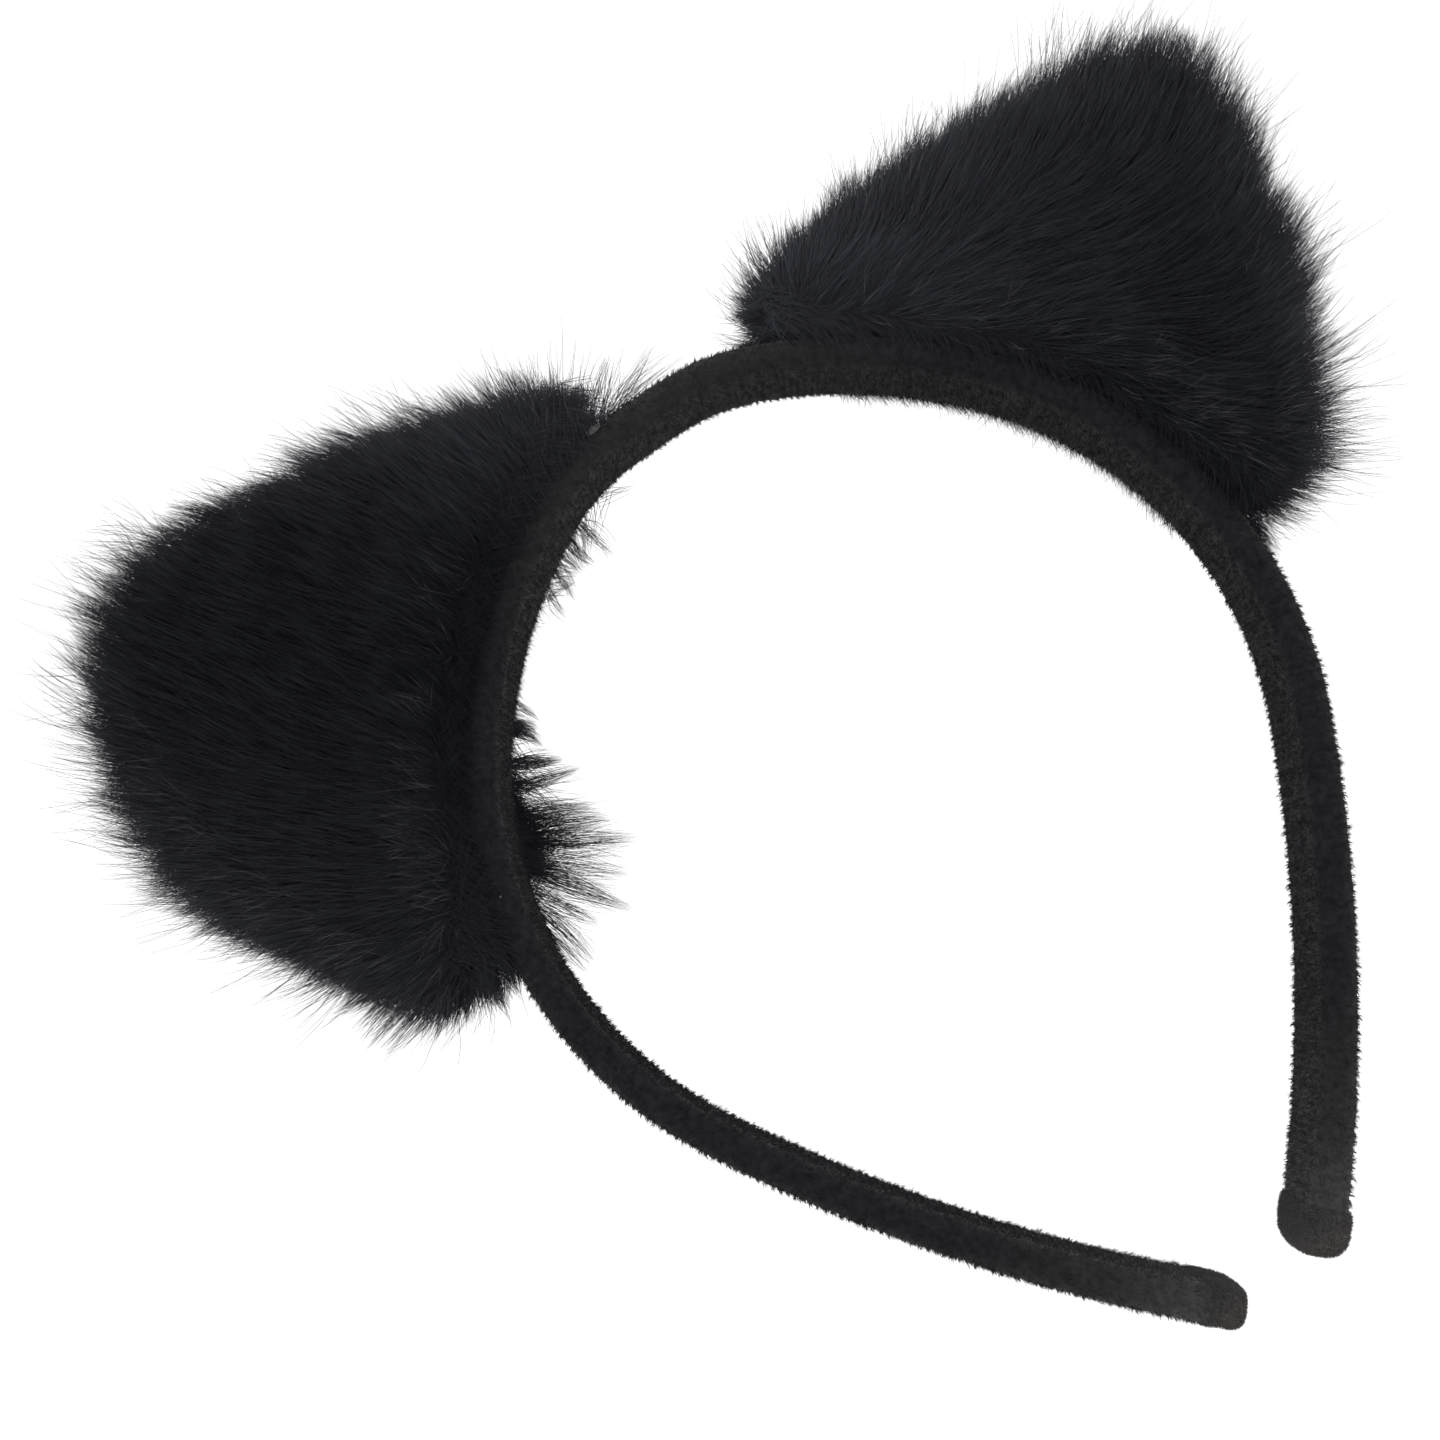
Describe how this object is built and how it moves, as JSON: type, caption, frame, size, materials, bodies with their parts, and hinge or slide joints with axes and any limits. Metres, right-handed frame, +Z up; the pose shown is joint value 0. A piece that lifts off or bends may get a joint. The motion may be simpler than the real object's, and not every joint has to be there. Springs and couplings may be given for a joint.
{
  "type": "animal ears headband",
  "caption": "Cat-ear headband: a sprung plastic hoop in a black velour sleeve with long-pile faux-fur ears glued on top; the arms flex apart to go over a head.",
  "frame": {"origin": "middle of the crown's inner face, where the band rests on the top of the head", "axes": "+Z up out of the head, X across the head from arm to arm, -Y towards the wearer's front"},
  "size_m": [0.189, 0.0206, 0.1718],
  "materials": {
    "hoop_plastic": "moulded black plastic, satin",
    "velour": "short-pile black velour with fine ribs across the band",
    "fur": "long-pile black faux fur, silky",
    "felt": "pressed black felt",
    "thread": "black polyester sewing thread",
    "glue": "set hot-melt glue, cloudy and shiny"
  },
  "bodies": {
    "crown": {"crown_hoop": "hoop_plastic", "crown_sleeve": "velour"},
    "right_side": {"right_side_hoop": "hoop_plastic", "right_side_sleeve": "velour", "right_ear_front_fur": "fur", "right_ear_back_fur": "fur", "right_ear_stiffener": "felt", "right_ear_seam": "thread", "right_ear_base_glue": "glue", "right_ear_rear_flap": "fur"},
    "left_side": {"left_side_hoop": "hoop_plastic", "left_side_sleeve": "velour", "left_ear_front_fur": "fur", "left_ear_back_fur": "fur", "left_ear_stiffener": "felt", "left_ear_seam": "thread", "left_ear_base_glue": "glue", "left_ear_rear_flap": "fur", "left_ear_glue_blob": "glue", "left_ear_glue_dot": "glue"},
    "right_arm": {"right_arm_hoop": "hoop_plastic", "right_arm_sleeve": "velour", "right_tip_wrap": "velour"},
    "left_arm": {"left_arm_hoop": "hoop_plastic", "left_arm_sleeve": "velour", "left_tip_wrap": "velour"}
  },
  "joints": [
    {"name": "right_side_flex", "type": "hinge", "parent": "crown", "child": "right_side", "pos_m": [0.01885, 0, 0.00072], "axis": [0, -1, 0], "range_deg": [-0.75, 12], "stiffness_Nm_per_rad": 1.2},
    {"name": "right_arm_flex", "type": "hinge", "parent": "right_side", "child": "right_arm", "pos_m": [0.05914, 0, -0.06036], "axis": [0, -1, 0], "range_deg": [-1.12, 18], "stiffness_Nm_per_rad": 0.8},
    {"name": "left_side_flex", "type": "hinge", "parent": "crown", "child": "left_side", "pos_m": [-0.0035, 0, 0.0042], "axis": [0, 1, 0], "range_deg": [-0.75, 12], "stiffness_Nm_per_rad": 1.2},
    {"name": "left_arm_flex", "type": "hinge", "parent": "left_side", "child": "left_arm", "pos_m": [-0.05885, 0, -0.05285], "axis": [0, 1, 0], "range_deg": [-1.12, 18], "stiffness_Nm_per_rad": 0.8}
  ],
  "couplings": [
    {"joint": "right_arm_flex", "follows": "right_side_flex", "ratio": 1.5},
    {"joint": "left_arm_flex", "follows": "left_side_flex", "ratio": 1.5}
  ]
}
